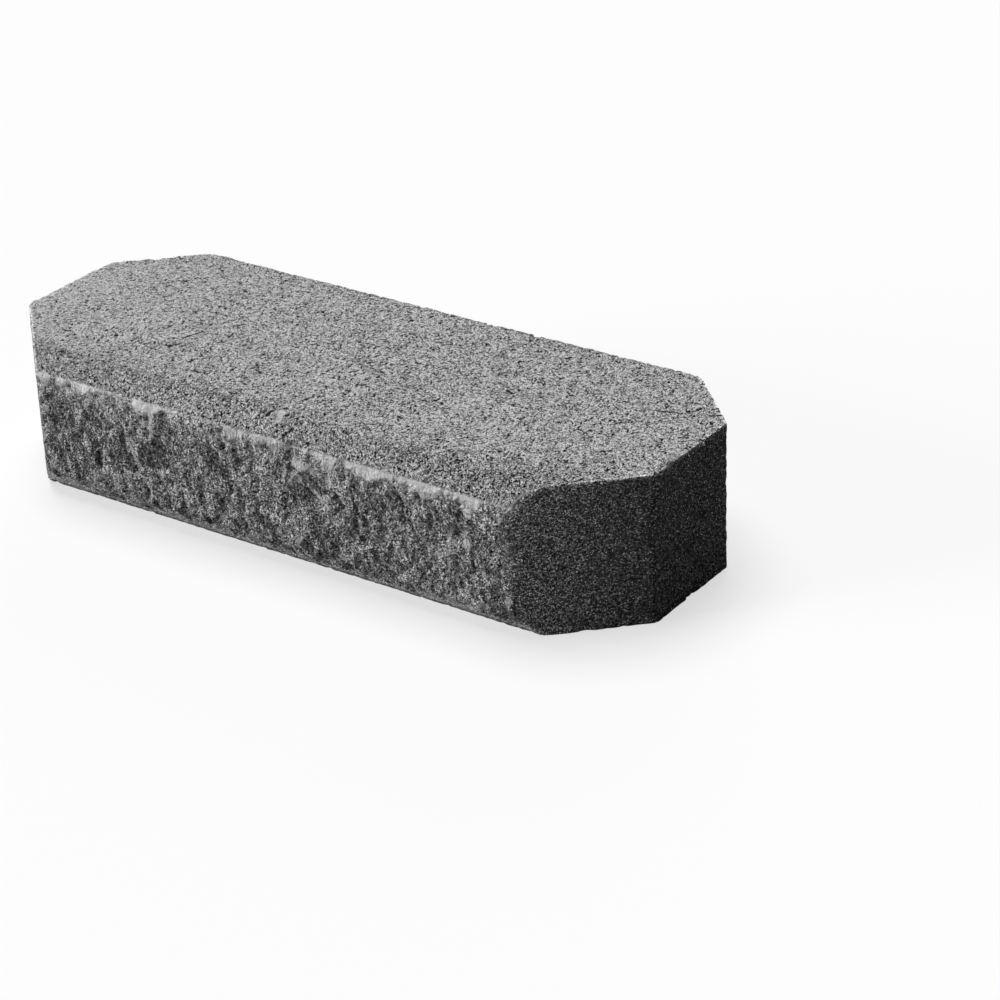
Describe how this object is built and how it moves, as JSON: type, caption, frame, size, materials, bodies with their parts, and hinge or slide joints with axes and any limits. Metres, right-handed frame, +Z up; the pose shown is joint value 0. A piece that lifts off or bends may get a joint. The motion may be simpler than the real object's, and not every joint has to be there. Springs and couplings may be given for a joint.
{
  "type": "coping stone",
  "caption": "Long octagonal concrete coping stone with a flat top, plain joint faces and rough split long faces with sloped upper edges.",
  "frame": {"origin": "middle of the bed face, on the plane that the stone rests on", "axes": "+X along the length towards one end face, +Y across the depth towards one long split face, +Z up from bed to top"},
  "size_m": [0.5, 0.21, 0.1],
  "materials": {
    "split_concrete": "dry-pressed charcoal concrete, fine open grain on the top and joint faces, rough split long faces"
  },
  "bodies": {
    "root": {"coping_stone": "split_concrete"}
  },
  "joints": []
}
